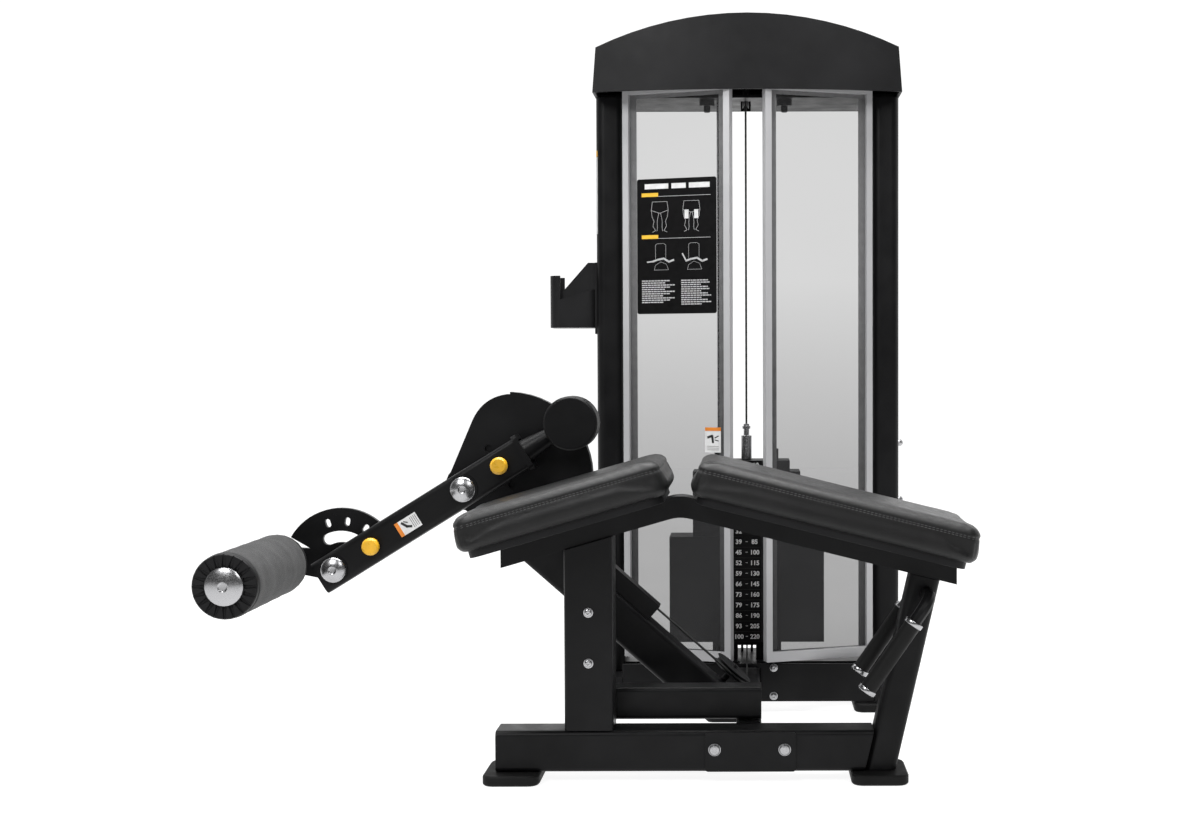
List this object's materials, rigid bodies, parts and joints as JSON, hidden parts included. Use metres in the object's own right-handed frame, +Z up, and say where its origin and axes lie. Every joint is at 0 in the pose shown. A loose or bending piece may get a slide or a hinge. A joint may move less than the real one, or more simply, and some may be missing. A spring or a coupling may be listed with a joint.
{
  "type": "lying leg curl machine",
  "caption": "Lying leg curl: sloped thigh and chest pads, a pivoting lever with a foam ankle roller, and a cable to a shrouded plate stack tower.",
  "frame": {"origin": "centre of the footprint on the floor", "axes": "+X along the bench towards the chest end, +Y back to the weight tower, +Z up"},
  "size_m": [1.4618, 1.0944, 1.608],
  "materials": {
    "frame_paint": "satin black powder coat",
    "foot_rubber": "matte",
    "grip_rubber": "ribbed matte",
    "upholstery": "grained black synthetic leather",
    "black_plastic": "fine textured",
    "foam": "dense grey foam skin",
    "chrome": "polished",
    "bright_steel": "brushed",
    "yellow_knob": "gloss yellow",
    "silver_frame": "satin anodised",
    "frosted_sheet": "frosted translucent",
    "placard_black": "printed black",
    "plate_iron": "black painted plates",
    "cable_sheath": "black sheath over steel rope"
  },
  "bodies": {
    "frame": {"foot_front_left": "foot_rubber", "foot_front_right": "foot_rubber", "foot_rear_left": "foot_rubber", "foot_rear_right": "foot_rubber", "front_rail": "frame_paint", "rail_wrap_plate": "frame_paint", "bench_post": "frame_paint", "bench_leg": "frame_paint", "bench_beam": "frame_paint", "thigh_pad": "upholstery", "thigh_board": "black_plastic", "chest_pad": "upholstery", "chest_board": "black_plastic", "handle_tube_front": "frame_paint", "handle_grip_front": "grip_rubber", "handle_tube_rear": "frame_paint", "handle_grip_rear": "grip_rubber", "depth_tube": "frame_paint", "brace_tube": "frame_paint", "diagonal_beam": "frame_paint", "pivot_housing": "frame_paint", "cable_box": "frame_paint", "tower_base": "frame_paint", "base_cover": "frame_paint", "column_left": "frame_paint", "column_right": "frame_paint", "top_crossbar": "frame_paint", "top_cap": "black_plastic", "shroud_frame_left": "silver_frame", "frosted_panel_left": "frosted_sheet", "shroud_frame_right": "silver_frame", "frosted_panel_right": "frosted_sheet", "placard": "placard_black", "guide_rod_left": "chrome", "guide_rod_right": "chrome", "wide_plates": "plate_iron", "narrow_plates": "plate_iron", "stack_cushion": "foot_rubber", "lifting_cable": "cable_sheath", "cable_to_stack": "cable_sheath", "bottle_holder": "black_plastic"},
    "quadrant": {"quadrant_plate": "frame_paint", "knee_axle": "chrome"},
    "lever": {"lever_tube": "frame_paint", "counterweight": "frame_paint", "shin_axle": "chrome"},
    "start_pin": {"start_pull_pin": "yellow_knob"},
    "angle_pin": {"angle_pull_pin": "yellow_knob"},
    "roller_bracket": {"roller_bracket": "frame_paint", "roller_shaft": "bright_steel"},
    "roller": {"foam_roller": "foam", "roller_cap_front": "black_plastic", "roller_cap_rear": "black_plastic", "roller_hub_disc": "chrome"},
    "carriage": {"head_plate": "plate_iron", "stack_stem": "bright_steel"},
    "selector_pin": {"selector_pin": "black_plastic"},
    "corner_pulley": {"corner_pulley": "black_plastic"},
    "base_pulley": {"base_pulley": "black_plastic"},
    "top_pulley": {"top_pulley": "black_plastic"}
  },
  "joints": [
    {"name": "curl", "type": "hinge", "parent": "frame", "child": "quadrant", "pos_m": [-0.29189, -0.09885, 0.551], "axis": [0, 1, 0], "range_deg": [0, 100]},
    {"name": "start_position", "type": "hinge", "parent": "quadrant", "child": "lever", "pos_m": [-0.29189, -0.15385, 0.551], "axis": [0, 1, 0], "range_deg": [-30, 30]},
    {"name": "start_pin_pull", "type": "slide", "parent": "lever", "child": "start_pin", "axis": [0, -1, 0], "range_m": [0, 0.012], "stiffness_N_per_m": 900, "springref_m": -0.006},
    {"name": "angle_pin_pull", "type": "slide", "parent": "lever", "child": "angle_pin", "axis": [0, -1, 0], "range_m": [0, 0.012], "stiffness_N_per_m": 900, "springref_m": -0.006},
    {"name": "roller_angle", "type": "hinge", "parent": "lever", "child": "roller_bracket", "pos_m": [-0.55889, -0.11535, 0.386], "axis": [0, 1, 0], "range_deg": [0, 75]},
    {"name": "roller_spin", "type": "hinge", "parent": "roller_bracket", "child": "roller", "pos_m": [-0.66889, -0.35985, 0.4], "axis": [0, 1, 0], "continuous": true},
    {"name": "stack_lift", "type": "slide", "parent": "frame", "child": "carriage", "axis": [0, 0, 1], "range_m": [0, 0.3], "deforming": ["cable_to_stack"]},
    {"name": "selector_pull", "type": "slide", "parent": "carriage", "child": "selector_pin", "axis": [0, -1, 0], "range_m": [0, 0.06]},
    {"name": "corner_pulley_turn", "type": "hinge", "parent": "frame", "child": "corner_pulley", "pos_m": [0.258, -0.00605, 0.14352], "axis": [0.6613, 0, 0.7501], "range_deg": [-420, 0]},
    {"name": "base_pulley_turn", "type": "hinge", "parent": "frame", "child": "base_pulley", "pos_m": [0.29011, 0.47815, 0.15302], "axis": [1, 0, 0], "range_deg": [-470, 0]},
    {"name": "top_pulley_turn", "type": "hinge", "parent": "frame", "child": "top_pulley", "pos_m": [0.29011, 0.45055, 1.5], "axis": [1, 0, 0], "range_deg": [-280, 0]}
  ],
  "couplings": [
    {"joint": "stack_lift", "follows": "curl", "m_per_rad": 0.17},
    {"joint": "corner_pulley_turn", "follows": "curl", "ratio": -3.972},
    {"joint": "base_pulley_turn", "follows": "curl", "ratio": -4.4974},
    {"joint": "top_pulley_turn", "follows": "curl", "ratio": -2.5994}
  ]
}
